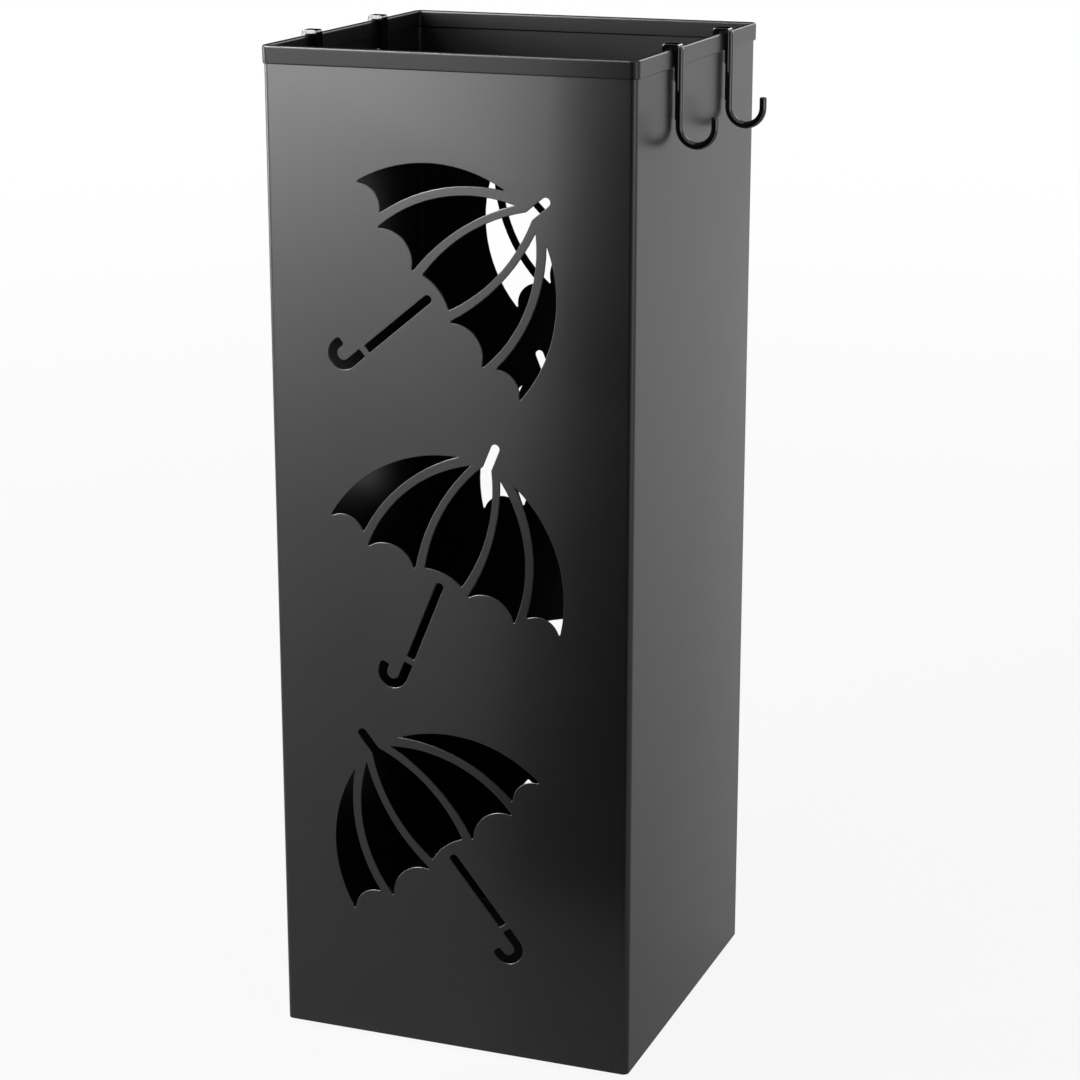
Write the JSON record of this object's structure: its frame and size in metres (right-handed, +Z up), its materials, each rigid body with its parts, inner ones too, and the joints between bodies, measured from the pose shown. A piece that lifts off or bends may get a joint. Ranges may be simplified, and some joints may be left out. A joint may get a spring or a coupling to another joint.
{
  "type": "umbrella stand",
  "caption": "Tall square umbrella stand of folded black sheet steel with umbrella-shaped cut-outs, a capped rim, clip-on rim hooks and a lift-out drip tray.",
  "frame": {"origin": "on the floor under the middle of the stand", "axes": "+X to the right, +Y to the rear, +Z up; the front wall faces -Y"},
  "size_m": [0.223, 0.1818, 0.4872],
  "materials": {
    "coated_sheet": "satin black powder coat",
    "rim_coat": "satin black powder coat",
    "tray_plastic": "matt black moulded",
    "foot_rubber": "matt",
    "hook_plastic": "glossy black moulded"
  },
  "bodies": {
    "stand": {"wrapped_body": "coated_sheet", "rim_cap": "rim_coat", "base_pan": "coated_sheet", "foot_front_left": "foot_rubber", "foot_rear_left": "foot_rubber", "foot_front_right": "foot_rubber", "foot_rear_right": "foot_rubber"},
    "tray": {"drip_tray": "tray_plastic"},
    "hook_left_front": {"hook_left_front": "hook_plastic"},
    "hook_left_rear": {"hook_left_rear": "hook_plastic"},
    "hook_right_front": {"hook_right_front": "hook_plastic"},
    "hook_right_rear": {"hook_right_rear": "hook_plastic"}
  },
  "joints": [
    {"name": "tray_lift", "type": "slide", "parent": "stand", "child": "tray", "axis": [0, 0, 1], "range_m": [0, 0.49]},
    {"name": "hook_left_front_slide", "type": "slide", "parent": "stand", "child": "hook_left_front", "axis": [0, 1, 0], "range_m": [-0.044, 0.034]},
    {"name": "hook_left_rear_slide", "type": "slide", "parent": "stand", "child": "hook_left_rear", "axis": [0, 1, 0], "range_m": [-0.034, 0.044]},
    {"name": "hook_right_front_slide", "type": "slide", "parent": "stand", "child": "hook_right_front", "axis": [0, 1, 0], "range_m": [-0.044, 0.034]},
    {"name": "hook_right_rear_slide", "type": "slide", "parent": "stand", "child": "hook_right_rear", "axis": [0, 1, 0], "range_m": [-0.034, 0.044]}
  ]
}
